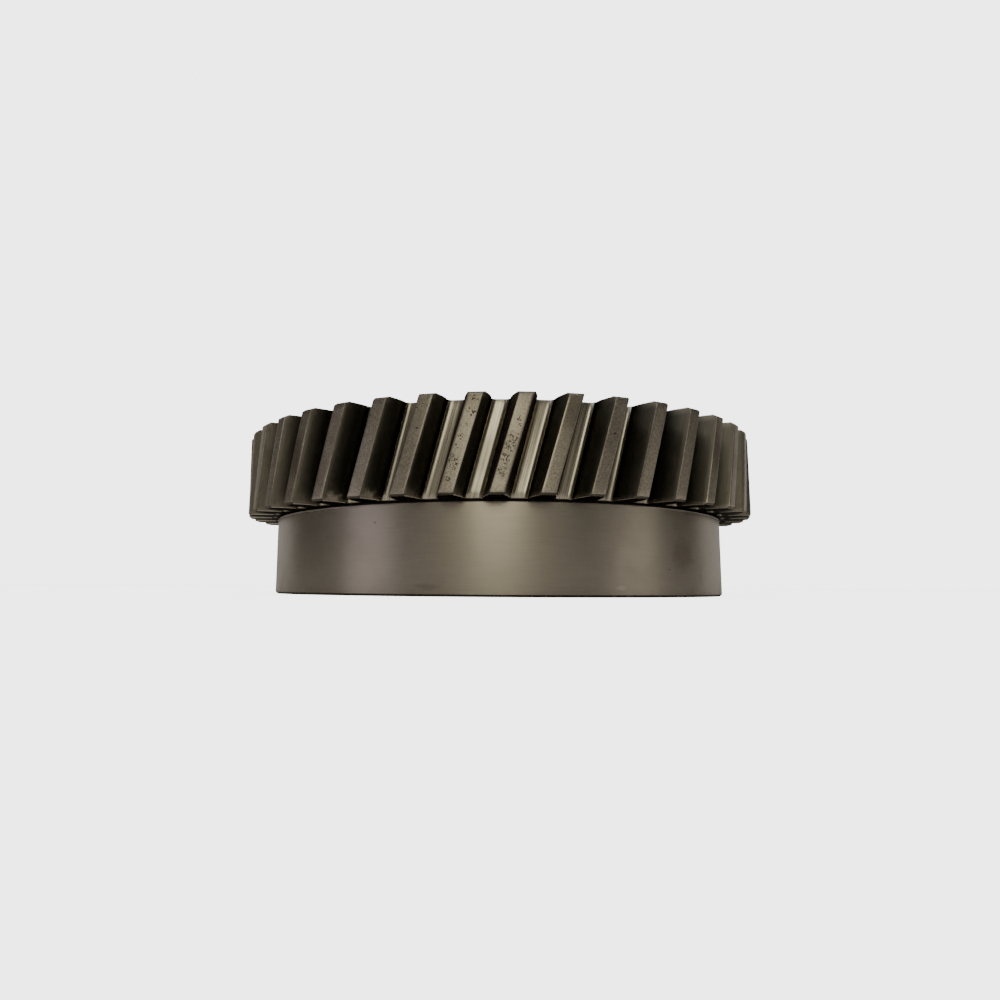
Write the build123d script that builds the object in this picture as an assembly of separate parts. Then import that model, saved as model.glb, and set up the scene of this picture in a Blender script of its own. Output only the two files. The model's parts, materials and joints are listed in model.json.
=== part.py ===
from build123d import *

import math
import os

# Crankshaft gear: a right-hand helical toothed ring on a wide plain hub, one piece of steel.
# Millimetres and degrees. The hub's ground end lies on z = 0 and the axis is +Z.

# Toothing, in the normal section
NORMAL_MODULE = 3.0
TOOTH_COUNT = 42
HELIX_ANGLE = 16.0
PRESSURE_ANGLE = 14.5
ADDENDUM_FACTOR = 1.0
DEDENDUM_FACTOR = 1.4
ROOT_FILLET = 1.14

# Toothed ring: its face width, and the chamfers turned on the upper and lower ends of its tips
FACE_WIDTH = 21.0
TIP_CHAMFER_RADIAL = 1.0
TIP_CHAMFER_AXIAL = 0.6
LOWER_TIP_CHAMFER = 0.45

# Hub, with a ground relief groove between its top and the teeth
HUB_DIAMETER = 121.5
HUB_HEIGHT = 20.0
HUB_END_CHAMFER = 0.5
HUB_TOP_CHAMFER = 0.12
RELIEF_WIDTH = 0.4
RELIEF_DEPTH = 1.0

# Bore and its keyway
BORE_DIAMETER = 90.0
BORE_CHAMFER = 1.2
KEYWAY_WIDTH = 10.0
KEYWAY_DEPTH = 3.5
KEYWAY_FILLET = 0.4

# Points that carry each involute flank, and how far they crowd towards its foot
FLANK_POINTS = 4
FLANK_CROWDING = 1.5

# Flats that each root fillet is made of
FILLET_FLATS = 4

# Sizes that follow from the ones above
helix = math.radians(HELIX_ANGLE)
transverse_module = NORMAL_MODULE / math.cos(helix)
transverse_pressure = math.atan(math.tan(math.radians(PRESSURE_ANGLE)) / math.cos(helix))
pitch_radius = transverse_module * TOOTH_COUNT / 2
tip_radius = pitch_radius + ADDENDUM_FACTOR * NORMAL_MODULE
root_radius = pitch_radius - DEDENDUM_FACTOR * NORMAL_MODULE
base_radius = pitch_radius * math.cos(transverse_pressure)
fillet_top_radius = math.sqrt((root_radius + ROOT_FILLET) ** 2 - ROOT_FILLET**2)
fillet_angle = math.asin(ROOT_FILLET / (root_radius + ROOT_FILLET))
foot_radius = max(base_radius, fillet_top_radius)
tooth_step = 2 * math.pi / TOOTH_COUNT
lead = 2 * math.pi * pitch_radius / math.tan(helix)
twist = 360 * FACE_WIDTH / lead
total_height = HUB_HEIGHT + FACE_WIDTH


def involute(angle):
    """Involute function of a pressure angle in radians."""
    return math.tan(angle) - angle


def half_thickness(radius):
    """Half of a tooth's angle at a radius from the base circle outwards, in radians."""
    pressure = math.acos(base_radius / radius)
    return math.pi / (2 * TOOTH_COUNT) + involute(transverse_pressure) - involute(pressure)


def polar(radius, angle):
    """Point of the transverse plane at a radius and an angle in radians."""
    return Vector(radius * math.cos(angle), radius * math.sin(angle), 0)


def root_fillet(foot_angle, side):
    """Fillet from the root circle up to the straight foot of a flank, in short flats."""
    start_angle = foot_angle + side * fillet_angle
    centre = polar(root_radius + ROOT_FILLET, start_angle)
    turn = side * (math.pi / 2 - fillet_angle) / FILLET_FLATS
    turns = [start_angle + math.pi + turn * number for number in range(FILLET_FLATS + 1)]
    points = [centre + polar(ROOT_FILLET, angle) for angle in turns]
    return [Line(first, second) for first, second in zip(points, points[1:])]


def involute_flank(centre, side):
    """Involute from its foot to the tip of a tooth."""
    rise = tip_radius - foot_radius
    steps = [(number / (FLANK_POINTS - 1)) ** FLANK_CROWDING for number in range(FLANK_POINTS)]
    radii = [foot_radius + rise * step for step in steps]
    return Spline(*[polar(radius, centre + side * half_thickness(radius)) for radius in radii])


def tooth_side(centre, side):
    """Edges of one side of a tooth from its root: fillet, straight foot, involute."""
    flats = root_fillet(centre + side * half_thickness(foot_radius), side)
    flank = involute_flank(centre, side)
    if foot_radius > fillet_top_radius:
        flats.append(Line(flats[-1] @ 1, flank @ 0))
    return flats + [flank]


def tooth_outline():
    """Edges of the whole toothing across the axis, with a tooth centred on -Y."""
    edges = []
    for number in range(TOOTH_COUNT):
        centre = number * tooth_step - math.pi / 2
        near = tooth_side(centre, -1)
        far = tooth_side(centre, 1)
        following = tooth_side(centre + tooth_step, -1)
        tip = ThreePointArc(near[-1] @ 1, polar(tip_radius, centre), far[-1] @ 1)
        root_middle = polar(root_radius, centre + tooth_step / 2)
        root = ThreePointArc(far[0] @ 0, root_middle, following[0] @ 0)
        edges += near + [tip] + far + [root]
    return edges


def turned(points):
    """Solid of revolution about the axis from (radius, height) points."""
    outline = Polyline([(radius, 0, height) for radius, height in points], close=True)
    return revolve(make_face(outline), Axis.Z)


def helical_teeth():
    """Solid with helical teeth: each edge of the lower outline is ruled to its own upper edge."""
    lower = tooth_outline()
    rise = Pos(0, 0, FACE_WIDTH) * Rot(0, 0, twist)
    upper = [rise * edge for edge in lower]
    sides = [Face.make_surface_from_curves(below, above) for below, above in zip(lower, upper)]
    ends = [Face(Wire(lower)), Face(Wire(upper))]
    return Solid(Shell(sides + ends))


def toothed_ring():
    """Helical teeth over the whole face width, with their tips chamfered at both ends."""
    blank = turned(
        [
            (0, 0),
            (tip_radius - LOWER_TIP_CHAMFER, 0),
            (tip_radius, LOWER_TIP_CHAMFER),
            (tip_radius, FACE_WIDTH - TIP_CHAMFER_AXIAL),
            (tip_radius - TIP_CHAMFER_RADIAL, FACE_WIDTH),
            (0, FACE_WIDTH),
        ]
    )
    return Pos(0, 0, HUB_HEIGHT) * (helical_teeth() & blank)


def hub():
    """Plain hub with its end chamfers and the relief groove under the teeth."""
    radius = HUB_DIAMETER / 2
    shoulder = HUB_HEIGHT - RELIEF_WIDTH
    return turned(
        [
            (0, 0),
            (radius - HUB_END_CHAMFER, 0),
            (radius, HUB_END_CHAMFER),
            (radius, shoulder - HUB_TOP_CHAMFER),
            (radius - HUB_TOP_CHAMFER, shoulder),
            (radius - RELIEF_DEPTH, shoulder),
            (radius - RELIEF_DEPTH, HUB_HEIGHT),
            (0, HUB_HEIGHT),
        ]
    )


def bore():
    """Through bore with a chamfer at each end."""
    radius = BORE_DIAMETER / 2
    return turned(
        [
            (0, 0),
            (radius + BORE_CHAMFER, 0),
            (radius, BORE_CHAMFER),
            (radius, total_height - BORE_CHAMFER),
            (radius + BORE_CHAMFER, total_height),
            (0, total_height),
        ]
    )


def keyway():
    """Keyway along the bore, on the side away from the -Y tooth."""
    reach = BORE_DIAMETER / 2 + KEYWAY_DEPTH
    slot = Rectangle(KEYWAY_WIDTH, reach, align=(Align.CENTER, Align.MIN))
    outer_corners = slot.vertices().group_by(Axis.Y)[-1]
    slot = fillet(outer_corners, KEYWAY_FILLET)
    return extrude(slot, total_height)


def crankshaft_gear():
    """The whole gear as one solid."""
    return toothed_ring() + hub() - bore() - keyway()


os.makedirs("parts", exist_ok=True)
export_step(crankshaft_gear(), "parts/crankshaft_gear.step")
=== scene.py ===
"""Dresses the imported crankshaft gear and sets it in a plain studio."""

import json
import logging
import math
from collections.abc import Iterable
from dataclasses import dataclass
from enum import Enum
from functools import cache

import bmesh
import bpy
from mathutils import Matrix, Vector


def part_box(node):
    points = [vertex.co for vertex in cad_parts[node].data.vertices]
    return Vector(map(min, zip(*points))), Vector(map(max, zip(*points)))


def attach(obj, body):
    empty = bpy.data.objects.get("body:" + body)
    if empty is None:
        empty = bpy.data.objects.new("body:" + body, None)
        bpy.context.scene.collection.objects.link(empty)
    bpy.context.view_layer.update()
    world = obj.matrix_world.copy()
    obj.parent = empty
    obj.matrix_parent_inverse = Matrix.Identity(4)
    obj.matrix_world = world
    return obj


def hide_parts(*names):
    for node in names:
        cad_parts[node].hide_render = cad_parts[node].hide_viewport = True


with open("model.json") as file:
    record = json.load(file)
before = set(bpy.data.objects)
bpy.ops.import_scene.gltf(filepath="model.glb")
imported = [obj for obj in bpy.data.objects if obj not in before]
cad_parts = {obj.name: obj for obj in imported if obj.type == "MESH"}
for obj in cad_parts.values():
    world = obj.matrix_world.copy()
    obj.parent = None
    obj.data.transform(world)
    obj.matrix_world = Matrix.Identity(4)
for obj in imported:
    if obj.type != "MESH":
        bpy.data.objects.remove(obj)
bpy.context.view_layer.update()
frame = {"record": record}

NODE = "crankshaft_gear"
BODY = "root"
PIECE = "crankshaft_gear_finished"
MM = 0.001
MERGE_DISTANCE = 0.002 * MM
CUT_DISTANCE = MERGE_DISTANCE / 10
RING_HEIGHT = 20.0
KEYWAY_DEPTH = 3.5 * MM
AXIS = Vector((0.0, 0.0, 1.0))
ORIGIN = Vector((0.0, 0.0, 0.0))

log = logging.getLogger("crankshaft_gear_scene")


class Region(Enum):
    """Surfaces of the gear that a machinist would finish in different ways."""

    HUB = 0
    LAND = 1
    FLANK = 2
    ROOT = 3
    END_FACE = 4
    UNDERSIDE = 5
    BORE = 6
    CHAMFER = 7
    EDGE_BREAK = 8
    TIP_EDGE = 9


def mount_radius(name: str) -> float:
    """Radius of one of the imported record's round mounts.

    Args:
        name: The mount's name in the record.

    Returns:
        Its radius in metres.
    """
    for mount in frame["record"]["mounts"]:
        if mount["name"] == name:
            return mount["dims"]["r_mm"] * MM
    raise ValueError(f"the record has no mount named {name}")


def radius_of(point: Vector) -> float:
    """Distance of a point from the gear's axis."""
    return math.hypot(point.x, point.y)


def move_to_radius(verts: Iterable[bmesh.types.BMVert], radius: float) -> None:
    """Moves vertices towards or away from the axis, onto one radius.

    Args:
        verts: The vertices to move.
        radius: The radius that they all get.
    """
    for vert in verts:
        scale = radius / radius_of(vert.co)
        vert.co.x *= scale
        vert.co.y *= scale


def verts_of(geometry: Iterable[object]) -> list[bmesh.types.BMVert]:
    """Vertices among the geometry that an operator returned."""
    return [item for item in geometry if isinstance(item, bmesh.types.BMVert)]


def edges_of(geometry: Iterable[object]) -> list[bmesh.types.BMEdge]:
    """Edges among the geometry that an operator returned."""
    return [item for item in geometry if isinstance(item, bmesh.types.BMEdge)]


def link(name: str, data: bpy.types.ID) -> bpy.types.Object:
    """Puts a mesh, a light or a camera into the scene as an object at the origin."""
    item = bpy.data.objects.new(name, data)
    bpy.context.scene.collection.objects.link(item)
    return item


def link_mesh(name: str, mesh: bmesh.types.BMesh) -> bpy.types.Object:
    """Puts a built mesh into the scene as an object at the origin, and frees it."""
    data = bpy.data.meshes.new(name)
    mesh.to_mesh(data)
    mesh.free()
    return link(name, data)


def add_light(name: str, width: float, height: float, radiance: float) -> bpy.types.Object:
    """Adds a soft area light that the camera doesn't see.

    Args:
        name: The light's name.
        width: Its width in metres.
        height: Its height in metres.
        radiance: How bright its surface is.

    Returns:
        The light's object, at the origin and facing down.
    """
    data = bpy.data.lights.new(name, "AREA")
    data.shape = "RECTANGLE"
    data.size = width
    data.size_y = height
    data.energy = radiance * math.pi * data.size * data.size_y
    light = link(name, data)
    light.visible_camera = False
    return light


def round_edges(
    mesh: bmesh.types.BMesh, edges: list[bmesh.types.BMEdge], radius: float, segments: int
) -> None:
    """Rounds edges with a bevel.

    Args:
        mesh: The mesh that they belong to.
        edges: The edges to round.
        radius: How far the bevel reaches from each edge.
        segments: How many flats it is made of.
    """
    bmesh.ops.bevel(
        mesh,
        geom=edges,
        offset=radius,
        segments=segments,
        profile=0.5,
        affect="EDGES",
        material=-1,
    )


@dataclass(frozen=True)
class Toothing:
    """Right-hand helical involute toothing, with a tooth centred on -Y at its lower end.

    Lengths are in metres and angles in radians.
    """

    tip_radius: float
    lower_height: float
    upper_height: float
    tooth_count: int = 42
    normal_module: float = 3.0 * MM
    helix_angle: float = math.radians(16.0)
    pressure_angle: float = math.radians(14.5)
    dedendum_factor: float = 1.4
    root_fillet: float = 1.14 * MM
    rim_depth: float = 0.9 * MM
    tip_chamfer_radial: float = 1.0 * MM
    tip_chamfer_axial: float = 0.6 * MM
    lower_tip_chamfer: float = 0.45 * MM
    edge_break: float = 0.17 * MM
    sharp_edge: float = math.radians(35.0)
    edge_break_steps: int = 2
    land_steps: int = 3
    flank_steps: int = 8
    flank_crowding: float = 1.5
    fillet_steps: int = 6
    root_steps: int = 2
    helix_steps: int = 12

    @property
    def transverse_pressure(self) -> float:
        """Pressure angle in the plane across the axis."""
        return math.atan(math.tan(self.pressure_angle) / math.cos(self.helix_angle))

    @property
    def pitch_radius(self) -> float:
        """Radius of the pitch circle."""
        return self.normal_module / math.cos(self.helix_angle) * self.tooth_count / 2

    @property
    def root_radius(self) -> float:
        """Radius of the bottom of the tooth spaces."""
        return self.pitch_radius - self.dedendum_factor * self.normal_module

    @property
    def base_radius(self) -> float:
        """Radius of the involute's base circle."""
        return self.pitch_radius * math.cos(self.transverse_pressure)

    @property
    def tooth_step(self) -> float:
        """Angle from one tooth to the next."""
        return 2 * math.pi / self.tooth_count

    @property
    def twist(self) -> float:
        """Angle that the helix turns over the face width."""
        width = self.upper_height - self.lower_height
        return width * math.tan(self.helix_angle) / self.pitch_radius

    @property
    def rim_radius(self) -> float:
        """Radius of the plain rim under the tooth roots."""
        return self.root_radius - self.rim_depth

    def half_thickness(self, radius: float) -> float:
        """Half of a tooth's angle at a radius from the base circle outwards."""
        pressure = math.acos(min(1.0, self.base_radius / radius))
        reference = math.tan(self.transverse_pressure) - self.transverse_pressure
        return math.pi / (2 * self.tooth_count) + reference - (math.tan(pressure) - pressure)

    def polar(self, radius: float, angle: float) -> Vector:
        """Point at a radius and an angle from a tooth's middle, at the lower end of the teeth."""
        return Vector((radius * math.sin(angle), -radius * math.cos(angle), self.lower_height))

    def half_outline(self) -> list[Vector]:
        """Outline of half a tooth, from the middle of its land to the middle of its root.

        Returns:
            Points along the land, the involute flank, the root fillet and the root.
        """
        land_angle = self.half_thickness(self.tip_radius)
        points = [
            self.polar(self.tip_radius, land_angle * step / self.land_steps)
            for step in range(self.land_steps)
        ]
        rise = self.tip_radius - self.base_radius
        for step in range(self.flank_steps, -1, -1):
            radius = self.base_radius + rise * (step / self.flank_steps) ** self.flank_crowding
            points.append(self.polar(radius, self.half_thickness(radius)))
        foot_angle = self.half_thickness(self.base_radius)
        centre_radius = self.root_radius + self.root_fillet
        fillet_angle = math.asin(self.root_fillet / centre_radius)
        centre = self.polar(centre_radius, foot_angle + fillet_angle)
        sweep = fillet_angle - math.pi / 2
        for step in range(self.fillet_steps + 1):
            turn = foot_angle + math.pi / 2 + sweep * step / self.fillet_steps
            spoke = Vector((math.sin(turn), -math.cos(turn), 0.0))
            points.append(centre - spoke * self.root_fillet)
        root_start = foot_angle + fillet_angle
        root_end = self.tooth_step / 2
        for step in range(1, self.root_steps + 1):
            angle = root_start + (root_end - root_start) * step / self.root_steps
            points.append(self.polar(self.root_radius, angle))
        return points

    def sweep_outline(self, mesh: bmesh.types.BMesh) -> None:
        """Sweeps the outline of one whole tooth up its helix.

        Args:
            mesh: An empty mesh that gets the tooth's surface.
        """
        chain = [mesh.verts.new(point) for point in self.half_outline()]
        for first, second in zip(chain, chain[1:]):
            mesh.edges.new((first, second))
        bmesh.ops.remove_doubles(mesh, verts=mesh.verts[:], dist=MERGE_DISTANCE)
        bmesh.ops.mirror(
            mesh,
            geom=mesh.verts[:] + mesh.edges[:],
            matrix=Matrix.Identity(4),
            merge_dist=MERGE_DISTANCE,
            axis="X",
        )
        step_rise = (self.upper_height - self.lower_height) / self.helix_steps
        bmesh.ops.spin(
            mesh,
            geom=mesh.verts[:] + mesh.edges[:],
            cent=ORIGIN,
            axis=AXIS,
            dvec=AXIS * step_rise,
            angle=self.twist,
            steps=self.helix_steps,
        )

    def close_end(self, mesh: bmesh.types.BMesh, height: float) -> None:
        """Draws one end of a tooth inwards to the plain rim.

        Args:
            mesh: The tooth's surface.
            height: The height of the end to close.
        """
        outline = [
            edge
            for edge in mesh.edges
            if all(abs(vert.co.z - height) < MERGE_DISTANCE for vert in edge.verts)
        ]
        grown = bmesh.ops.extrude_edge_only(mesh, edges=outline)["geom"]
        move_to_radius(verts_of(grown), self.rim_radius)

    def chamfer_tip(
        self, mesh: bmesh.types.BMesh, turn: float, height: float, radial: float, axial: float
    ) -> None:
        """Cuts the turned chamfer across one end of a tooth's tip.

        Args:
            mesh: The tooth's surface with both ends closed.
            turn: The angle that the helix has turned at this end.
            height: The end's height.
            radial: The chamfer's depth towards the axis.
            axial: The chamfer's depth along the axis, negative where the end is the upper one.
        """
        middle = Matrix.Rotation(turn, 3, "Z") @ Vector((0.0, -1.0, 0.0))
        point = middle * self.tip_radius + AXIS * (height + axial)
        normal = middle * abs(axial) - AXIS * math.copysign(radial, axial)
        cut = bmesh.ops.bisect_plane(
            mesh,
            geom=mesh.verts[:] + mesh.edges[:] + mesh.faces[:],
            dist=CUT_DISTANCE,
            plane_co=point,
            plane_no=normal.normalized(),
            clear_outer=True,
        )
        bmesh.ops.contextual_create(mesh, geom=edges_of(cut["geom_cut"]))

    def break_edges(self, mesh: bmesh.types.BMesh) -> None:
        """Breaks the sharp outer edges of the teeth.

        Args:
            mesh: All the teeth as one surface.
        """
        bmesh.ops.recalc_face_normals(mesh, faces=mesh.faces[:])
        sharp = [
            edge
            for edge in mesh.edges
            if edge.is_manifold and edge.calc_face_angle_signed(0.0) > self.sharp_edge
        ]
        round_edges(mesh, sharp, self.edge_break, self.edge_break_steps)
        for vert in mesh.verts:
            vert.co.z = min(max(vert.co.z, self.lower_height), self.upper_height)

    def ring(self) -> bmesh.types.BMesh:
        """All the teeth as one surface, open at the rim's two circles."""
        mesh = bmesh.new()
        self.sweep_outline(mesh)
        self.close_end(mesh, self.upper_height)
        self.close_end(mesh, self.lower_height)
        depth, drop = self.tip_chamfer_radial, self.tip_chamfer_axial
        self.chamfer_tip(mesh, self.twist, self.upper_height, depth, -drop)
        lower = self.lower_tip_chamfer
        self.chamfer_tip(mesh, 0.0, self.lower_height, lower, lower)
        bmesh.ops.spin(
            mesh,
            geom=mesh.verts[:] + mesh.edges[:] + mesh.faces[:],
            cent=ORIGIN,
            axis=AXIS,
            angle=2 * math.pi - self.tooth_step,
            steps=self.tooth_count - 1,
            use_duplicate=True,
        )
        bmesh.ops.remove_doubles(mesh, verts=mesh.verts[:], dist=MERGE_DISTANCE)
        self.break_edges(mesh)
        return mesh


@dataclass(frozen=True)
class Body:
    """Turned body inside the teeth: the bore, the hub and the groove under the teeth."""

    total_height: float
    hub_radius: float
    bore_radius: float
    ring_height: float
    bore_chamfer: float = 1.2 * MM
    hub_end_chamfer: float = 0.5 * MM
    hub_top_chamfer: float = 0.12 * MM
    relief_width: float = 0.4 * MM
    relief_depth: float = 1.0 * MM

    def section(self) -> list[tuple[float, float]]:
        """Corners of the turned section, from the upper face down the bore and up the hub.

        Returns:
            Pairs of radius and height.
        """
        shoulder = self.ring_height - self.relief_width
        relief_radius = self.hub_radius - self.relief_depth
        return [
            (self.bore_radius + self.bore_chamfer, self.total_height),
            (self.bore_radius, self.total_height - self.bore_chamfer),
            (self.bore_radius, self.bore_chamfer),
            (self.bore_radius + self.bore_chamfer, 0.0),
            (self.hub_radius - self.hub_end_chamfer, 0.0),
            (self.hub_radius, self.hub_end_chamfer),
            (self.hub_radius, shoulder - self.hub_top_chamfer),
            (self.hub_radius - self.hub_top_chamfer, shoulder),
            (relief_radius, shoulder),
            (relief_radius, self.ring_height),
        ]

    def turn(self, mesh: bmesh.types.BMesh) -> None:
        """Carries the rim's upper circle round the section and joins it to the lower circle.

        Args:
            mesh: The toothed ring's surface, open at the rim's two circles.
        """
        circles = [edge for edge in mesh.edges if edge.is_boundary]
        between = self.ring_height + MM
        loop = [edge for edge in circles if edge.verts[0].co.z > between]
        lower = [edge for edge in circles if edge.verts[0].co.z < between]
        for radius, height in self.section():
            grown = bmesh.ops.extrude_edge_only(mesh, edges=loop)["geom"]
            ring = verts_of(grown)
            move_to_radius(ring, radius)
            for vert in ring:
                vert.co.z = height
            loop = edges_of(grown)
        bmesh.ops.bridge_loops(mesh, edges=loop + lower)


@dataclass(frozen=True)
class Keyway:
    """Keyway along the bore, towards +Y."""

    reach: float
    length: float
    width: float = 10.0 * MM
    corner_radius: float = 0.4 * MM
    corner_steps: int = 5
    overlap: float = 2.0 * MM

    def cutter(self) -> bpy.types.Object:
        """Block that removes the keyway, with its two outer corners rounded."""
        mesh = bmesh.new()
        bmesh.ops.create_cube(mesh, size=1.0)
        depth = self.reach / 2
        size = (self.width, depth, self.length + 2 * self.overlap)
        bmesh.ops.scale(mesh, vec=size, verts=mesh.verts[:])
        middle = (0.0, self.reach - depth / 2, self.length / 2)
        bmesh.ops.translate(mesh, vec=middle, verts=mesh.verts[:])
        corners = [
            edge
            for edge in mesh.edges
            if all(vert.co.y > self.reach - self.overlap for vert in edge.verts)
            and abs(edge.verts[0].co.z - edge.verts[1].co.z) > self.length
        ]
        round_edges(mesh, corners, self.corner_radius, self.corner_steps)
        return link_mesh("keyway_cutter", mesh)


@dataclass(frozen=True)
class Gear:
    """The whole gear: toothing, turned body and keyway, as one closed piece.

    The zones, shares and slopes after the three parts sort its faces into regions: the shares
    are of an edge break and of a root fillet, and the slopes are parts of a unit normal.
    """

    toothing: Toothing
    body: Body
    keyway: Keyway
    keyway_zone: float = 4.8 * MM
    tip_zone: float = 0.6 * MM
    height_margin: float = 0.01 * MM
    chamfer_area: float = 0.5 * MM * MM
    tip_edge_share: float = 1.6
    root_share: float = 0.45
    level_slope: float = 0.999
    bevel_slope: float = 0.3
    land_slope: float = 0.985
    sharp_angle: float = math.radians(24.0)

    def build(self) -> bpy.types.Object:
        """Builds the finished gear in place of the CAD node.

        Returns:
            The gear's object.
        """
        mesh = self.toothing.ring()
        self.body.turn(mesh)
        bmesh.ops.recalc_face_normals(mesh, faces=mesh.faces[:])
        blank = link_mesh("gear_blank", mesh)
        cutter = self.keyway.cutter()
        cut = blank.modifiers.new("keyway", "BOOLEAN")
        cut.operation = "DIFFERENCE"
        cut.solver = "EXACT"
        cut.object = cutter
        depsgraph = bpy.context.evaluated_depsgraph_get()
        finished = bpy.data.meshes.new_from_object(blank.evaluated_get(depsgraph))
        finished.name = PIECE
        bpy.data.objects.remove(blank)
        bpy.data.objects.remove(cutter)
        self.mark_surfaces(finished)
        piece = link(PIECE, finished)
        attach(piece, BODY)
        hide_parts(NODE)
        return piece

    def region(self, face: bmesh.types.BMFace) -> Region:
        """Names the surface that a face belongs to."""
        centre = face.calc_center_median()
        radius = radius_of(centre)
        if radius < self.body.bore_radius + self.keyway_zone:
            return self.inner_region(face)
        if centre.z < self.body.ring_height + self.height_margin:
            return self.hub_region(face, centre.z)
        if face.normal.z > self.level_slope:
            return Region.END_FACE
        if abs(face.normal.z) > self.bevel_slope:
            return self.end_edge_region(face, radius)
        outward = (face.normal.x * centre.x + face.normal.y * centre.y) / radius
        teeth = self.toothing
        if radius > teeth.tip_radius - self.tip_edge_share * teeth.edge_break:
            return Region.LAND if outward > self.land_slope else Region.TIP_EDGE
        if radius < teeth.root_radius + self.root_share * teeth.root_fillet:
            return Region.ROOT
        return Region.FLANK

    def end_edge_region(self, face: bmesh.types.BMFace, radius: float) -> Region:
        """Names a sloping face at the ends of the teeth."""
        outermost = radius > self.toothing.tip_radius - self.tip_zone
        innermost = radius < self.toothing.root_radius + self.toothing.root_fillet
        if outermost or innermost or face.calc_area() > self.chamfer_area:
            return Region.CHAMFER
        return Region.EDGE_BREAK

    def inner_region(self, face: bmesh.types.BMFace) -> Region:
        """Names a face of the bore, the keyway, the bore chamfers or the end faces."""
        return Region.END_FACE if abs(face.normal.z) > self.bevel_slope else Region.BORE

    def hub_region(self, face: bmesh.types.BMFace, height: float) -> Region:
        """Names a face of the hub, its end, or the groove and the teeth's lower end above it."""
        if height > self.body.ring_height - self.body.relief_width - self.height_margin:
            return Region.UNDERSIDE
        if abs(face.normal.z) > self.level_slope:
            return Region.END_FACE
        if abs(face.normal.z) > self.bevel_slope:
            return Region.CHAMFER if face.normal.z < 0.0 else Region.EDGE_BREAK
        return Region.HUB

    def mark_surfaces(self, data: bpy.types.Mesh) -> None:
        """Gives every face its region's material index and its shading.

        Args:
            data: The finished mesh.
        """
        mesh = bmesh.new()
        mesh.from_mesh(data)
        bmesh.ops.recalc_face_normals(mesh, faces=mesh.faces[:])
        for face in mesh.faces:
            face.material_index = self.region(face).value
            face.smooth = True
        for edge in mesh.edges:
            edge.smooth = edge.is_manifold and edge.calc_face_angle(0.0) < self.sharp_angle
        open_edges = sum(not edge.is_manifold for edge in mesh.edges)
        log.info("gear mesh: %d faces, %d open edges", len(mesh.faces), open_edges)
        mesh.to_mesh(data)
        mesh.free()


class Tree:
    """Adds and joins the nodes of one shader tree."""

    def __init__(self, tree: bpy.types.NodeTree) -> None:
        """Keeps the tree that the nodes go into."""
        self.tree = tree

    def add(self, kind: str, *values: object, **settings: object) -> bpy.types.Node:
        """Adds a node and feeds its first inputs.

        Args:
            kind: The node's type.
            values: What the first inputs get, in order.
            settings: Values of the node's own properties.

        Returns:
            The new node.
        """
        node = self.tree.nodes.new(kind)
        for name, value in settings.items():
            setattr(node, name, value)
        for socket, value in zip(node.inputs, values):
            self.feed(socket, value)
        return node

    def feed(self, socket: bpy.types.NodeSocket, value: object) -> None:
        """Joins another socket to an input, or sets the input's own value."""
        if isinstance(value, bpy.types.NodeSocket):
            self.tree.links.new(value, socket)
        else:
            socket.default_value = value

    def math(self, operation: str, *values: object) -> bpy.types.NodeSocket:
        """Result of a Math node with its inputs fed in order."""
        return self.add("ShaderNodeMath", *values, operation=operation).outputs[0]

    def vector(self, operation: str, *values: object) -> bpy.types.NodeSocket:
        """Result of a Vector Math node: a number for a length, and otherwise a vector."""
        node = self.add("ShaderNodeVectorMath", *values, operation=operation)
        return node.outputs["Value" if operation == "LENGTH" else "Vector"]

    def combine(self, x: object, y: object, z: object) -> bpy.types.NodeSocket:
        """Vector made of three values."""
        return self.add("ShaderNodeCombineXYZ", x, y, z).outputs[0]

    def split(self, value: object) -> tuple[bpy.types.NodeSocket, ...]:
        """X, Y and Z of a vector."""
        return tuple(self.add("ShaderNodeSeparateXYZ", value).outputs)

    def span(
        self, value: object, low: object, high: object, first: float = 0.0, last: float = 1.0
    ) -> bpy.types.NodeSocket:
        """Smooth step of a value from one range to another.

        Args:
            value: The value to map.
            low: Where the step starts.
            high: Where the step ends.
            first: The result at the start.
            last: The result at the end.

        Returns:
            The mapped value.
        """
        values = (value, low, high, first, last)
        node = self.add("ShaderNodeMapRange", *values, interpolation_type="SMOOTHSTEP")
        return node.outputs[0]

    def blend(self, factor: object, first: object, second: object) -> bpy.types.NodeSocket:
        """Mix of two colours by a factor."""
        node = self.add("ShaderNodeMix", data_type="RGBA")
        self.feed(node.inputs["Factor"], factor)
        ends = [socket for socket in node.inputs if socket.type == "RGBA"]
        self.feed(ends[0], first)
        self.feed(ends[1], second)
        return next(socket for socket in node.outputs if socket.type == "RGBA")

    def noise(
        self, position: object, scale: object, detail: float, roughness: float = 0.5
    ) -> bpy.types.NodeSocket:
        """Noise from 0 to 1.

        Args:
            position: Where the noise is read.
            scale: Features for each metre.
            detail: How many finer layers are added.
            roughness: How strong the finer layers are.

        Returns:
            The noise value.
        """
        node = self.add("ShaderNodeTexNoise", position, noise_dimensions="3D")
        self.feed(node.inputs["Scale"], scale)
        self.feed(node.inputs["Detail"], detail)
        self.feed(node.inputs["Roughness"], roughness)
        return node.outputs[0]

    def ragged(self, position: object, scale: float) -> bpy.types.NodeSocket:
        """Noise from -0.5 to 0.5, for the edge of a mark."""
        return self.math("SUBTRACT", self.noise(position, scale, detail=4.0, roughness=0.6), 0.5)

    def use(self, group: bpy.types.NodeTree, **inputs: object) -> bpy.types.NodeSocket:
        """Places a shared group and feeds its inputs.

        Args:
            group: The group's tree.
            inputs: Its inputs by name, in lower case.

        Returns:
            The group's output.
        """
        node = self.add("ShaderNodeGroup", node_tree=group)
        for name, value in inputs.items():
            self.feed(node.inputs[name.capitalize()], value)
        return node.outputs[0]


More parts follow.
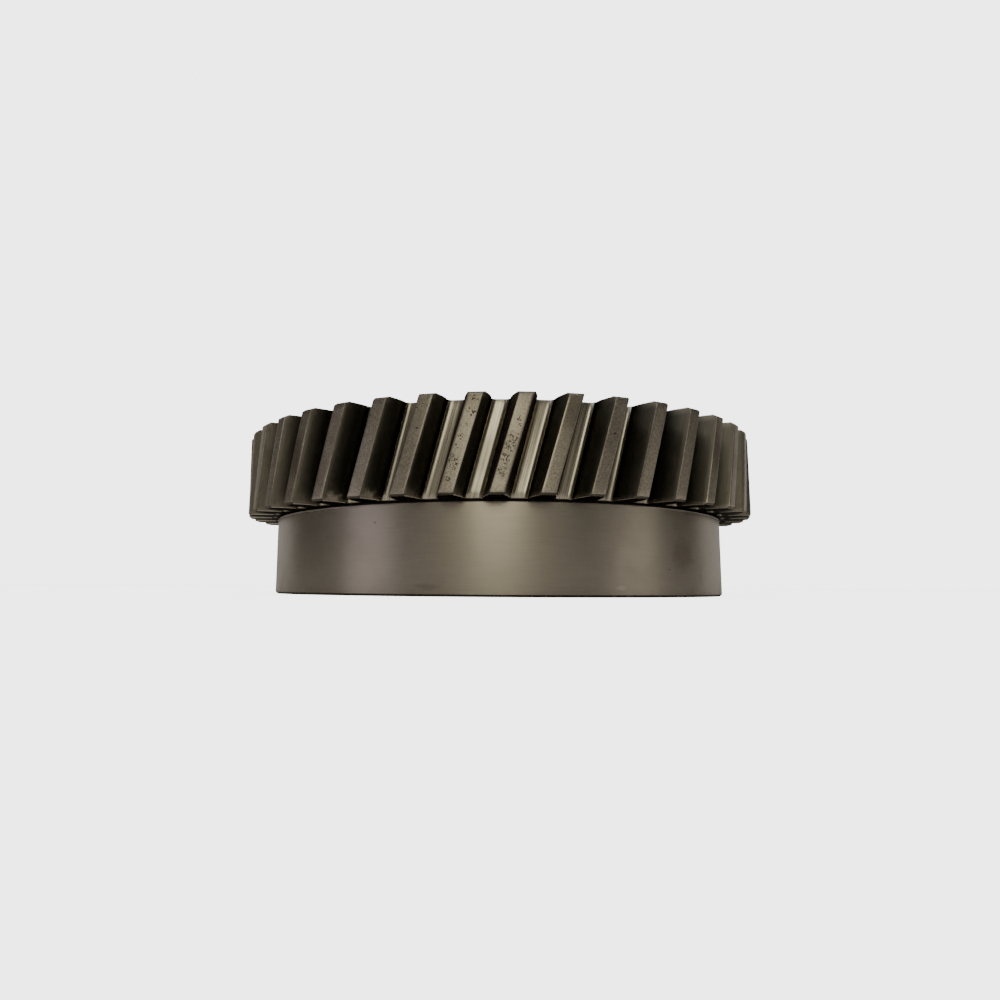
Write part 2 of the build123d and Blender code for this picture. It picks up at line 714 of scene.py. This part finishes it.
class SharedEffect:
    """A shader node group that turns a position and other named inputs into one mask."""

    def __init__(self, name: str, *numbers: str, vectors: tuple[str, ...] = ()) -> None:
        """Makes the group and its sockets.

        Args:
            name: The group's name.
            numbers: The names of its number inputs.
            vectors: The names of its vector inputs besides the position.
        """
        self.group = bpy.data.node_groups.new(name, "ShaderNodeTree")
        sockets = self.group.interface
        for label in ("Position", *vectors):
            sockets.new_socket(label, in_out="INPUT", socket_type="NodeSocketVector")
        for label in numbers:
            sockets.new_socket(label, in_out="INPUT", socket_type="NodeSocketFloat")
        sockets.new_socket("Mask", in_out="OUTPUT", socket_type="NodeSocketFloat")
        self.tree = Tree(self.group)
        self.inputs = self.tree.add("NodeGroupInput").outputs

    def finish(self, mask: bpy.types.NodeSocket) -> bpy.types.NodeTree:
        """Sends the mask out of the group and hands the group over."""
        self.tree.add("NodeGroupOutput", mask)
        return self.group


PATCH_SPAN = (0.42, 0.68)
PIT_RIM_SCALE = 4000.0
PIT_RIM_RAGGEDNESS = 0.12
PIT_RIM_SPAN = (-0.06, 0.03)
MARK_RAGGED_SCALE = 1.6
FOOT_INNER_RADIUS = 0.062
FOOT_OUTER_RADIUS = 0.067
# Shape of the band of painted reflection at the teeth's lower end.
END_SHEEN_RAGGED_SCALE = 900.0
END_SHEEN_RAGGEDNESS = 1.8
END_SHEEN_SPAN = (0.15, 1.0)


class Effects:
    """The node groups that the finishes use, each built once."""

    @staticmethod
    @cache
    def lathe_marks() -> bpy.types.NodeTree:
        """Fine marks that run round the axis, on cylinders and on flat faces alike."""
        effect = SharedEffect("lathe_marks", "Fineness", "Stretch")
        tree, inputs = effect.tree, effect.inputs
        x, y, z = tree.split(inputs["Position"])
        radius = tree.vector("LENGTH", tree.combine(x, y, 0.0))
        stretched = tree.combine(
            tree.math("MULTIPLY", x, inputs["Stretch"]),
            tree.math("MULTIPLY", y, inputs["Stretch"]),
            tree.math("MULTIPLY", tree.math("ADD", radius, z), inputs["Fineness"]),
        )
        return effect.finish(tree.noise(stretched, 1.0, detail=3.0, roughness=0.6))

    @staticmethod
    @cache
    def hob_marks() -> bpy.types.NodeTree:
        """Fine marks that run along the helical teeth."""
        effect = SharedEffect("hob_marks", "Fineness", "Stretch", "Turn")
        tree, inputs = effect.tree, effect.inputs
        height = tree.split(inputs["Position"])[2]
        angle = tree.math("MULTIPLY", height, inputs["Turn"])
        unwound = tree.add("ShaderNodeVectorRotate", inputs["Position"], rotation_type="Z_AXIS")
        tree.feed(unwound.inputs["Angle"], tree.math("MULTIPLY", angle, -1.0))
        x, y, z = tree.split(unwound.outputs[0])
        stretched = tree.combine(
            tree.math("MULTIPLY", x, inputs["Fineness"]),
            tree.math("MULTIPLY", y, inputs["Fineness"]),
            tree.math("MULTIPLY", z, inputs["Stretch"]),
        )
        return effect.finish(tree.noise(stretched, 1.0, detail=3.0, roughness=0.55))

    @staticmethod
    @cache
    def blotches() -> bpy.types.NodeTree:
        """Soft uneven patches, such as thin oil and handling marks."""
        effect = SharedEffect("blotches", "Scale")
        tree, inputs = effect.tree, effect.inputs
        patches = tree.noise(inputs["Position"], inputs["Scale"], detail=4.0, roughness=0.55)
        return effect.finish(tree.span(patches, *PATCH_SPAN))

    @staticmethod
    @cache
    def pits() -> bpy.types.NodeTree:
        """Small pits of uneven size, whose number follows the coverage."""
        effect = SharedEffect("pits", "Scale", "Coverage", "Size")
        tree, inputs = effect.tree, effect.inputs
        cells = tree.add("ShaderNodeTexVoronoi", inputs["Position"], feature="F1")
        tree.feed(cells.inputs["Scale"], inputs["Scale"])
        draw = tree.add("ShaderNodeSeparateColor", cells.outputs["Color"]).outputs
        chosen = tree.math("LESS_THAN", draw[0], inputs["Coverage"])
        size = tree.math("MULTIPLY", inputs["Size"], draw[1])
        ragged = tree.noise(inputs["Position"], PIT_RIM_SCALE, detail=2.0)
        rim = tree.math("MULTIPLY_ADD", ragged, PIT_RIM_RAGGEDNESS, cells.outputs["Distance"])
        inside = tree.span(tree.math("SUBTRACT", size, rim), *PIT_RIM_SPAN)
        return effect.finish(tree.math("MULTIPLY", chosen, inside))

    @staticmethod
    @cache
    def local_mark() -> bpy.types.NodeTree:
        """One ragged mark round a given place."""
        effect = SharedEffect(
            "local_mark", "Raggedness", "Softness", vectors=("Centre", "Reach")
        )
        tree, inputs = effect.tree, effect.inputs
        offset = tree.vector("SUBTRACT", inputs["Position"], inputs["Centre"])
        scaled = tree.vector("DIVIDE", offset, inputs["Reach"])
        ragged = tree.ragged(scaled, MARK_RAGGED_SCALE)
        shift = tree.math("MULTIPLY", tree.math("MULTIPLY", ragged, inputs["Raggedness"]), 2.0)
        reached = tree.math("ADD", tree.vector("LENGTH", scaled), shift)
        start = tree.math("SUBTRACT", 1.0, inputs["Softness"])
        return effect.finish(tree.span(reached, start, 1.0, 1.0, 0.0))

    @staticmethod
    @cache
    def foot_shade() -> bpy.types.NodeTree:
        """Painted shade that deepens towards the feet of the teeth."""
        effect = SharedEffect("foot_shade")
        tree = effect.tree
        level = tree.vector("MULTIPLY", effect.inputs["Position"], Vector((1.0, 1.0, 0.0)))
        radius = tree.vector("LENGTH", level)
        return effect.finish(tree.span(radius, FOOT_INNER_RADIUS, FOOT_OUTER_RADIUS, 1.0, 0.0))

    @staticmethod
    @cache
    def end_sheen_band() -> bpy.types.NodeTree:
        """Ragged band round one height, for a painted reflection and rougher steel at the teeth's
        lower end.
        """
        effect = SharedEffect("end_sheen_band", "Height", "Depth")
        tree, inputs = effect.tree, effect.inputs
        ragged = tree.ragged(inputs["Position"], END_SHEEN_RAGGED_SCALE)
        above = tree.math("SUBTRACT", tree.split(inputs["Position"])[2], inputs["Height"])
        reached = tree.math("DIVIDE", tree.math("ABSOLUTE", above), inputs["Depth"])
        shifted = tree.math("MULTIPLY_ADD", ragged, END_SHEEN_RAGGEDNESS, reached)
        return effect.finish(tree.span(shifted, *END_SHEEN_SPAN, 1.0, 0.0))


Color = tuple[float, float, float, float]

WHITE: Color = (1.0, 1.0, 1.0, 1.0)
PIT_COLOR: Color = (0.02, 0.017, 0.014, 1.0)
# Colour of the painted shade at the feet of the teeth.
FOOT_SHADE_COLOR: Color = (0.012, 0.011, 0.009, 1.0)
# Colour of the painted reflection at the lower end of the flanks.
END_SHEEN_COLOR: Color = (0.62, 0.57, 0.48, 1.0)
# Colour of the painted reflections on the flanks.
FLANK_REFLECTION_COLOR: Color = (0.60, 0.55, 0.46, 1.0)
STAIN_COLOR: Color = (0.15, 0.125, 0.09, 1.0)
# Colour of the painted highlight along the hub's top edge.
HUB_HIGHLIGHT_COLOR: Color = (0.92, 0.87, 0.81, 1.0)
HUB_STAIN_COLOR: Color = (0.20, 0.14, 0.08, 1.0)
HUB_SMUDGE_COLOR: Color = (0.16, 0.13, 0.10, 1.0)
HUB_GLINT_COLOR: Color = (0.75, 0.70, 0.62, 1.0)
HUB_NICK_COLOR: Color = (0.03, 0.025, 0.02, 1.0)

GRAIN_SPAN = (0.3, 0.7)
ROUGHNESS_SPAN = (0.1, 0.9)
PIT_SCALE = 1500.0
PIT_SIZE = 0.3
PIT_STRENGTH = 0.7
PIT_DEPTH = 3.0
PIT_FIELD_SCALE = 3600.0
PIT_FIELD_COVERAGE = 0.8
PIT_FIELD_SIZE = 0.9
# Size of the painted reflection's band, and the roughness it adds.
END_SHEEN_DEPTH = 1.2 * MM
END_SHEEN_ROUGHENING = 0.25

LAND_RADIUS = 68.54
HUB_RADIUS = 60.75
TOOTH_PITCH = 360.0 / 42
LEAN_PER_MM = 0.2507


class Lay(Enum):
    """Direction of the tool marks on a finish."""

    AROUND = "around the axis"
    ALONG_TEETH = "along the teeth"
    EVEN = "no direction"


@dataclass(frozen=True)
class Mark:
    """One stain, nick, pit field, painted highlight or painted reflection at its own place on the
    gear.

    The place is a radius and a height in millimetres, and an angle in degrees from -Y towards +X.
    """

    angle: float
    radius: float
    height: float
    reach: tuple[float, float, float]
    color: Color
    strength: float
    raggedness: float = 0.5
    softness: float = 0.6
    pitted: bool = False

    def centre(self) -> Vector:
        """The mark's middle in metres."""
        turn = math.radians(self.angle)
        spoke = Vector((math.sin(turn), -math.cos(turn), 0.0))
        return spoke * self.radius * MM + AXIS * (self.height * MM)

    def mask(self, tree: Tree, position: bpy.types.NodeSocket) -> bpy.types.NodeSocket:
        """Mask of the mark, broken into pits where it is a pit field.

        Args:
            tree: The material's tree.
            position: The object position.

        Returns:
            The mask, from 0 to 1.
        """
        mask = tree.use(
            Effects.local_mark(),
            position=position,
            centre=self.centre(),
            reach=Vector(self.reach) * MM,
            raggedness=self.raggedness,
            softness=self.softness,
        )
        if not self.pitted:
            return mask
        specks = tree.use(
            Effects.pits(),
            position=position,
            scale=PIT_FIELD_SCALE,
            coverage=PIT_FIELD_COVERAGE,
            size=PIT_FIELD_SIZE,
        )
        return tree.math("MULTIPLY", mask, specks)


@dataclass(frozen=True)
class SteelFinish:
    """One machined finish of the gear's steel; some finishes also carry painted shade or painted
    reflections in their colour.
    """

    name: str
    dark: Color
    light: Color
    roughness: tuple[float, float]
    fineness: float
    mark_height: float
    stretch: float = 1.0
    lay: Lay = Lay.AROUND
    patch_scale: float = 70.0
    patch_color: Color = (0.10, 0.08, 0.06, 1.0)
    patch_strength: float = 0.35
    pit_coverage: float = 0.03
    # How strongly a painted reflection lightens a band at the teeth's lower end, which is also
    # rougher.
    end_sheen_strength: float = 0.0
    # Below white, this tint paints shade: it dims the steel's reflections at grazing angles.
    grazing_tint: Color = WHITE
    # How strongly painted shade darkens the colour towards the feet of the teeth.
    foot_shade_strength: float = 0.0
    marks: tuple[Mark, ...] = ()

    def material(self, turn_rate: float) -> bpy.types.Material:
        """Builds the finish's material.

        Args:
            turn_rate: The teeth's turn in radians for each metre of height.

        Returns:
            The material.
        """
        material = bpy.data.materials.new(self.name)
        material.use_nodes = True
        tree = Tree(material.node_tree)
        shader = material.node_tree.nodes["Principled BSDF"]
        position = tree.add("ShaderNodeTexCoord").outputs["Object"]
        grain = self.grain(tree, position, turn_rate)
        patches = tree.use(Effects.blotches(), position=position, scale=self.patch_scale)
        pits = tree.use(
            Effects.pits(),
            position=position,
            scale=PIT_SCALE,
            coverage=self.pit_coverage,
            size=PIT_SIZE,
        )
        color = tree.blend(tree.span(grain, *GRAIN_SPAN), self.dark, self.light)
        covered = tree.math("MULTIPLY", patches, self.patch_strength)
        color = tree.blend(covered, color, self.patch_color)
        # Painted shade: the colour darkens towards the feet of the teeth.
        if self.foot_shade_strength:
            shade = tree.use(Effects.foot_shade(), position=position)
            color = tree.blend(tree.math("MULTIPLY", shade, self.foot_shade_strength), color, FOOT_SHADE_COLOR)
        # Painted reflection: a lighter band at the teeth's lower end, where the steel is also
        # rougher.
        end_sheen = 0.0
        if self.end_sheen_strength:
            height = RING_HEIGHT * MM
            band = tree.use(Effects.end_sheen_band(), position=position, height=height, depth=END_SHEEN_DEPTH)
            end_sheen = tree.math("MULTIPLY", band, self.end_sheen_strength)
            color = tree.blend(end_sheen, color, END_SHEEN_COLOR)
        for mark in self.marks:
            mask = mark.mask(tree, position)
            color = tree.blend(tree.math("MULTIPLY", mask, mark.strength), color, mark.color)
        color = tree.blend(tree.math("MULTIPLY", pits, PIT_STRENGTH), color, PIT_COLOR)
        tree.feed(shader.inputs["Base Color"], color)
        shader.inputs["Metallic"].default_value = 1.0
        # A grazing tint below white paints shade into the steel's reflections at grazing angles.
        shader.inputs["Specular Tint"].default_value = self.grazing_tint
        mixed = tree.math("MULTIPLY_ADD", patches, 0.5, tree.math("MULTIPLY", grain, 0.5))
        even = tree.span(mixed, *ROUGHNESS_SPAN, *self.roughness)
        roughness = tree.math("MULTIPLY_ADD", end_sheen, END_SHEEN_ROUGHENING, even)
        tree.feed(shader.inputs["Roughness"], roughness)
        bump = tree.add("ShaderNodeBump")
        bump.inputs["Strength"].default_value = 1.0
        bump.inputs["Distance"].default_value = self.mark_height * MM
        relief = tree.math("SUBTRACT", grain, tree.math("MULTIPLY", pits, PIT_DEPTH))
        tree.feed(bump.inputs["Height"], relief)
        tree.feed(shader.inputs["Normal"], bump.outputs[0])
        return material

    def grain(
        self, tree: Tree, position: bpy.types.NodeSocket, turn_rate: float
    ) -> bpy.types.NodeSocket:
        """Tool marks in the finish's own direction.

        Args:
            tree: The material's tree.
            position: The object position.
            turn_rate: The teeth's turn in radians for each metre of height.

        Returns:
            The marks, from 0 to 1.
        """
        if self.lay is Lay.EVEN:
            return tree.noise(position, self.fineness, detail=4.0, roughness=0.6)
        inputs = {"position": position, "fineness": self.fineness, "stretch": self.stretch}
        if self.lay is Lay.AROUND:
            return tree.use(Effects.lathe_marks(), **inputs)
        return tree.use(Effects.hob_marks(), turn=turn_rate, **inputs)


def land_angle(tooth: int, height: float) -> float:
    """Angle in degrees to the middle of a tooth's land at a height in millimetres."""
    return tooth * TOOTH_PITCH + LEAN_PER_MM * (height - RING_HEIGHT)


def land_pits(
    tooth: int, shift: float, height: float, half_width: float, half_height: float
) -> Mark:
    """Field of small pits on the land of a tooth.

    Args:
        tooth: The tooth's number, from 0 at -Y and rising towards +X.
        shift: The field's place across the land, in millimetres towards +X.
        height: The field's height in millimetres.
        half_width: Half of its width in millimetres.
        half_height: Half of its height in millimetres.

    Returns:
        The mark.
    """
    return Mark(
        angle=land_angle(tooth, height) + math.degrees(shift / LAND_RADIUS),
        radius=LAND_RADIUS,
        height=height,
        reach=(half_width, 3.0, half_height),
        color=PIT_COLOR,
        strength=0.9,
        raggedness=0.6,
        softness=0.4,
        pitted=True,
    )


def land_stain(tooth: int, height: float, half_height: float, strength: float) -> Mark:
    """Brown stain across the land of a tooth.

    Args:
        tooth: The tooth's number, from 0 at -Y and rising towards +X.
        height: The stain's height in millimetres.
        half_height: Half of its height in millimetres.
        strength: How much of the steel it hides.

    Returns:
        The mark.
    """
    return Mark(
        angle=land_angle(tooth, height),
        radius=LAND_RADIUS,
        height=height,
        reach=(4.0, 4.0, half_height),
        color=STAIN_COLOR,
        strength=strength,
        raggedness=0.4,
        softness=0.8,
    )


def hub_rim_highlight(angle: float, strength: float) -> Mark:
    """Painted highlight along the top of the hub, centred on an angle in degrees."""
    reach = (26.0, 44.0, 0.36)
    return Mark(angle, HUB_RADIUS, 19.42, reach, HUB_HIGHLIGHT_COLOR, strength, 0.25, 0.4)


LAND_STAINS = (
    (1, 36.5, 7.0, 0.5),
    (-1, 39.0, 3.5, 0.45),
    (2, 33.0, 9.0, 0.2),
    (5, 32.0, 9.0, 0.55),
    (-5, 30.0, 9.0, 0.5),
    (-4, 26.0, 6.0, 0.3),
)
LAND_PITS = (
    (-1, 0.1, 39.4, 1.2, 0.8),
    (-1, 0.4, 36.6, 1.3, 1.3),
    (-1, 0.5, 33.7, 0.5, 0.8),
    (-1, -0.3, 31.7, 0.8, 0.9),
    (-1, -0.6, 29.7, 0.6, 0.7),
    (-1, -0.2, 26.4, 1.3, 2.1),
    (-1, -0.3, 23.2, 0.7, 0.6),
    (0, 0.4, 34.6, 0.8, 1.3),
    (0, 0.1, 31.6, 1.3, 1.2),
    (0, -0.1, 29.6, 1.5, 1.4),
    (0, -0.5, 27.2, 1.3, 1.6),
    (0, -0.2, 24.6, 1.1, 1.4),
    (1, 0.4, 38.6, 0.3, 0.3),
    (1, 0.2, 29.6, 0.4, 0.4),
    (-2, 0.3, 33.7, 0.4, 0.3),
    (2, 0.2, 32.9, 0.3, 0.3),
)

FINISHES: dict[Region, SteelFinish] = {
    Region.HUB: SteelFinish(
        name="ground_hub",
        dark=(0.455, 0.41, 0.35, 1.0),
        light=(0.50, 0.455, 0.39, 1.0),
        roughness=(0.31, 0.38),
        fineness=11000.0,
        stretch=160.0,
        mark_height=0.0016,
        patch_strength=0.08,
        pit_coverage=0.004,
        marks=(
            # Painted highlights along the hub's top edge on both sides.
            hub_rim_highlight(-58.0, 0.85),
            hub_rim_highlight(58.0, 0.95),
            Mark(43.5, HUB_RADIUS, 9.2, (5.0, 6.0, 4.6), HUB_STAIN_COLOR, 0.30),
            Mark(-13.5, HUB_RADIUS, 2.0, (4.0, 6.0, 0.9), HUB_SMUDGE_COLOR, 0.22),
            Mark(25.5, HUB_RADIUS, 2.0, (1.4, 4.0, 0.7), HUB_GLINT_COLOR, 0.3),
            Mark(-25.3, HUB_RADIUS, 15.6, (0.25, 2.0, 0.2), HUB_NICK_COLOR, 0.8),
        ),
    ),
    Region.LAND: SteelFinish(
        name="turned_tooth_lands",
        dark=(0.38, 0.343, 0.282, 1.0),
        light=(0.62, 0.565, 0.464, 1.0),
        roughness=(0.39, 0.47),
        lay=Lay.EVEN,
        fineness=3000.0,
        mark_height=0.004,
        patch_strength=0.25,
        pit_coverage=0.05,
        marks=(
            *(land_stain(*place) for place in LAND_STAINS),
            *(land_pits(*place) for place in LAND_PITS),
        ),
    ),
    Region.FLANK: SteelFinish(
        name="hobbed_flanks",
        dark=(0.205, 0.188, 0.15, 1.0),
        light=(0.24, 0.22, 0.177, 1.0),
        roughness=(0.38, 0.48),
        lay=Lay.ALONG_TEETH,
        fineness=4000.0,
        stretch=220.0,
        mark_height=0.002,
        patch_scale=160.0,
        patch_color=(0.13, 0.118, 0.093, 1.0),
        # Painted reflection: a lighter, rougher band along the flanks' lower end.
        end_sheen_strength=0.25,
        # Painted shade: the dark grazing tint dims the flanks' reflections.
        grazing_tint=(0.10, 0.10, 0.10, 1.0),
        # Painted shade: the flanks darken towards the feet of the teeth.
        foot_shade_strength=0.97,
        marks=(
            # Painted reflections: lighter patches at the lower ends of two flanks on the left.
            Mark(-32.4, 66.0, 20.4, (2.4, 2.4, 2.0), FLANK_REFLECTION_COLOR, 0.9, 1.3, 0.9),
            Mark(-23.8, 66.0, 20.5, (2.0, 2.0, 2.0), FLANK_REFLECTION_COLOR, 0.8, 1.3, 0.9),
        ),
    ),
    Region.ROOT: SteelFinish(
        name="hobbed_roots",
        dark=(0.42, 0.39, 0.32, 1.0),
        light=(0.84, 0.775, 0.63, 1.0),
        roughness=(0.27, 0.37),
        lay=Lay.ALONG_TEETH,
        fineness=4500.0,
        stretch=40.0,
        mark_height=0.008,
        patch_strength=0.15,
    ),
    Region.END_FACE: SteelFinish(
        name="faced_ends",
        dark=(0.24, 0.21, 0.175, 1.0),
        light=(0.42, 0.375, 0.32, 1.0),
        roughness=(0.32, 0.46),
        fineness=3800.0,
        stretch=160.0,
        mark_height=0.008,
    ),
    # Painted shade: the teeth's lower end and the groove under them are near black, and their
    # grazing reflections are dimmed.
    Region.UNDERSIDE: SteelFinish(
        name="teeth_underside_painted_shade",
        dark=(0.035, 0.03, 0.026, 1.0),
        light=(0.075, 0.065, 0.056, 1.0),
        roughness=(0.36, 0.5),
        fineness=3800.0,
        stretch=160.0,
        mark_height=0.006,
        grazing_tint=(0.06, 0.052, 0.045, 1.0),
    ),
    Region.BORE: SteelFinish(
        name="honed_bore",
        dark=(0.40, 0.36, 0.31, 1.0),
        light=(0.56, 0.51, 0.45, 1.0),
        roughness=(0.26, 0.38),
        fineness=6500.0,
        stretch=200.0,
        mark_height=0.004,
        patch_strength=0.15,
    ),
    Region.CHAMFER: SteelFinish(
        name="turned_chamfers",
        dark=(0.12, 0.106, 0.086, 1.0),
        light=(0.20, 0.177, 0.144, 1.0),
        roughness=(0.34, 0.46),
        fineness=3000.0,
        stretch=600.0,
        mark_height=0.006,
    ),
    Region.EDGE_BREAK: SteelFinish(
        name="broken_edges",
        dark=(0.80, 0.745, 0.66, 1.0),
        light=(0.94, 0.90, 0.83, 1.0),
        roughness=(0.32, 0.42),
        lay=Lay.EVEN,
        fineness=2500.0,
        mark_height=0.003,
        patch_strength=0.2,
    ),
    Region.TIP_EDGE: SteelFinish(
        name="rubbed_tip_edges",
        dark=(0.42, 0.38, 0.31, 1.0),
        light=(0.62, 0.57, 0.48, 1.0),
        roughness=(0.34, 0.46),
        lay=Lay.EVEN,
        fineness=2500.0,
        mark_height=0.003,
        patch_strength=0.5,
    ),
}


@dataclass(frozen=True)
class Camera:
    """Camera at the photograph's viewing angle, low in front of the gear.

    The yaw is towards +X, the pitch upwards and the roll about the view, all in radians.
    """

    position: tuple[float, float, float] = (-0.455 * MM, -209.993 * MM, 2.247 * MM)
    yaw: float = -0.04743
    pitch: float = 0.14014
    roll: float = 0.00621
    lens_mm: float = 26.24
    sensor_mm: float = 36.0
    shift_x: float = 0.0404
    shift_y: float = -0.01698

    def build(self) -> None:
        """Places the camera and makes it the scene's camera."""
        data = bpy.data.cameras.new("photo_camera")
        data.lens = self.lens_mm
        data.sensor_width = self.sensor_mm
        data.sensor_fit = "HORIZONTAL"
        data.shift_x = self.shift_x
        data.shift_y = self.shift_y
        data.clip_start = 1.0 * MM
        camera = link("photo_camera", data)
        turned = Matrix.Rotation(-self.yaw, 4, "Z")
        raised = Matrix.Rotation(math.pi / 2 + self.pitch, 4, "X")
        rolled = Matrix.Rotation(self.roll, 4, "Z")
        place = Matrix.Translation(self.position)
        camera.matrix_world = place @ turned @ raised @ rolled
        bpy.context.scene.camera = camera


@dataclass(frozen=True)
class Softbox:
    """One soft light that stands round the gear.

    The angle is in degrees from the camera's side towards +X, and lengths are in metres.
    """

    name: str
    angle: float
    width: float
    bottom: float
    top: float
    radiance: float
    color: tuple[float, float, float]
    distance: float = 0.8

    def build(self) -> None:
        """Adds the light, turned towards the axis."""
        light = add_light(self.name, self.width, self.top - self.bottom, self.radiance)
        light.data.color = self.color
        turn = math.radians(self.angle)
        light.location = (
            self.distance * math.sin(turn),
            -self.distance * math.cos(turn),
            (self.top + self.bottom) / 2,
        )
        light.rotation_euler = (math.radians(90.0), 0.0, turn)


@dataclass(frozen=True)
class Studio:
    """Pale floor, soft lights and surroundings."""

    floor_size: float = 6.0
    floor_color: Color = (0.86, 0.86, 0.86, 1.0)
    floor_light: float = 0.4
    reflected_floor_color: Color = (0.80, 0.77, 0.72, 1.0)
    surroundings: float = 0.065
    surroundings_color: Color = (1.0, 0.95, 0.88, 1.0)
    backdrop: float = 4.0
    overhead_radiance: float = 1.0
    overhead_size: float = 1.2
    overhead_place: tuple[float, float, float] = (0.0, -0.1, 0.9)
    softboxes: tuple[Softbox, ...] = (
        Softbox("front_softbox", 0.0, 0.33, 0.08, 0.5, 1.82, (1.0, 0.955, 0.75)),
        Softbox("front_fill", 0.0, 1.25, 0.02, 0.4, 0.112, (1.0, 0.96, 0.80)),
        Softbox("left_softbox", -60.5, 0.35, -0.1, 0.12, 0.86, (1.0, 0.92, 1.0)),
        Softbox("right_softbox", 66.6, 0.36, -0.1, 0.10, 0.84, (1.0, 0.945, 0.82)),
        Softbox("rear_left_softbox", -147.5, 0.88, -0.1, 0.4, 0.38, (1.0, 0.96, 0.92)),
        Softbox("rear_right_softbox", 143.5, 0.94, -0.1, 0.4, 0.36, (1.0, 0.96, 0.90)),
    )

    def build(self) -> bpy.types.Object:
        """Builds the lights and the surroundings, and returns the floor."""
        for softbox in self.softboxes:
            softbox.build()
        size = self.overhead_size
        overhead = add_light("overhead_softbox", size, size, self.overhead_radiance)
        overhead.location = self.overhead_place
        self.build_surroundings()
        return self.build_floor()

    def build_surroundings(self) -> None:
        """Sets a white background and dim surroundings for the steel to reflect."""
        world = bpy.data.worlds.new("studio_surroundings")
        world.use_nodes = True
        bpy.context.scene.world = world
        tree = Tree(world.node_tree)
        background = world.node_tree.nodes["Background"]
        seen = tree.add("ShaderNodeLightPath").outputs["Is Camera Ray"]
        tree.feed(background.inputs["Color"], tree.blend(seen, self.surroundings_color, WHITE))
        extra = self.backdrop - self.surroundings
        strength = tree.math("MULTIPLY_ADD", seen, extra, self.surroundings)
        tree.feed(background.inputs["Strength"], strength)

    def build_floor(self) -> bpy.types.Object:
        """Builds the plain pale floor, darker where the steel reflects it.

        Returns:
            The floor's object.
        """
        mesh = bmesh.new()
        bmesh.ops.create_grid(mesh, x_segments=2, y_segments=2, size=self.floor_size / 2)
        floor = link_mesh("studio_floor", mesh)
        material = bpy.data.materials.new("pale_floor")
        material.use_nodes = True
        tree = Tree(material.node_tree)
        pale = material.node_tree.nodes["Principled BSDF"]
        pale.inputs["Base Color"].default_value = self.floor_color
        pale.inputs["Roughness"].default_value = 0.7
        pale.inputs["Emission Color"].default_value = WHITE
        pale.inputs["Emission Strength"].default_value = self.backdrop - self.floor_light
        dim = tree.add("ShaderNodeBsdfPrincipled")
        dim.inputs["Base Color"].default_value = self.reflected_floor_color
        dim.inputs["Roughness"].default_value = 0.8
        seen = tree.add("ShaderNodeLightPath").outputs["Is Camera Ray"]
        mixed = tree.add("ShaderNodeMixShader", seen, dim.outputs[0], pale.outputs[0])
        output = material.node_tree.nodes["Material Output"]
        tree.feed(output.inputs["Surface"], mixed.outputs[0])
        floor.data.materials.append(material)
        return floor


def main() -> None:
    """Builds the gear, the camera and the studio, and logs each piece."""
    logging.basicConfig(level=logging.INFO)
    lowest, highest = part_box(NODE)
    body = Body(
        total_height=highest.z,
        hub_radius=mount_radius("hub_outside"),
        bore_radius=mount_radius("bore"),
        ring_height=RING_HEIGHT * MM,
    )
    toothing = Toothing(
        tip_radius=min(highest.x, highest.y, -lowest.x, -lowest.y),
        lower_height=body.ring_height,
        upper_height=body.total_height,
    )
    keyway = Keyway(reach=body.bore_radius + KEYWAY_DEPTH, length=body.total_height)
    gear = Gear(toothing, body, keyway).build()
    turn_rate = toothing.twist / (toothing.upper_height - toothing.lower_height)
    for region in Region:
        gear.data.materials.append(FINISHES[region].material(turn_rate))
    log.info("built %s", gear.name)
    Camera().build()
    floor = Studio().build()
    log.info("built the camera and %s", floor.name)


if __name__ == "__main__":
    main()
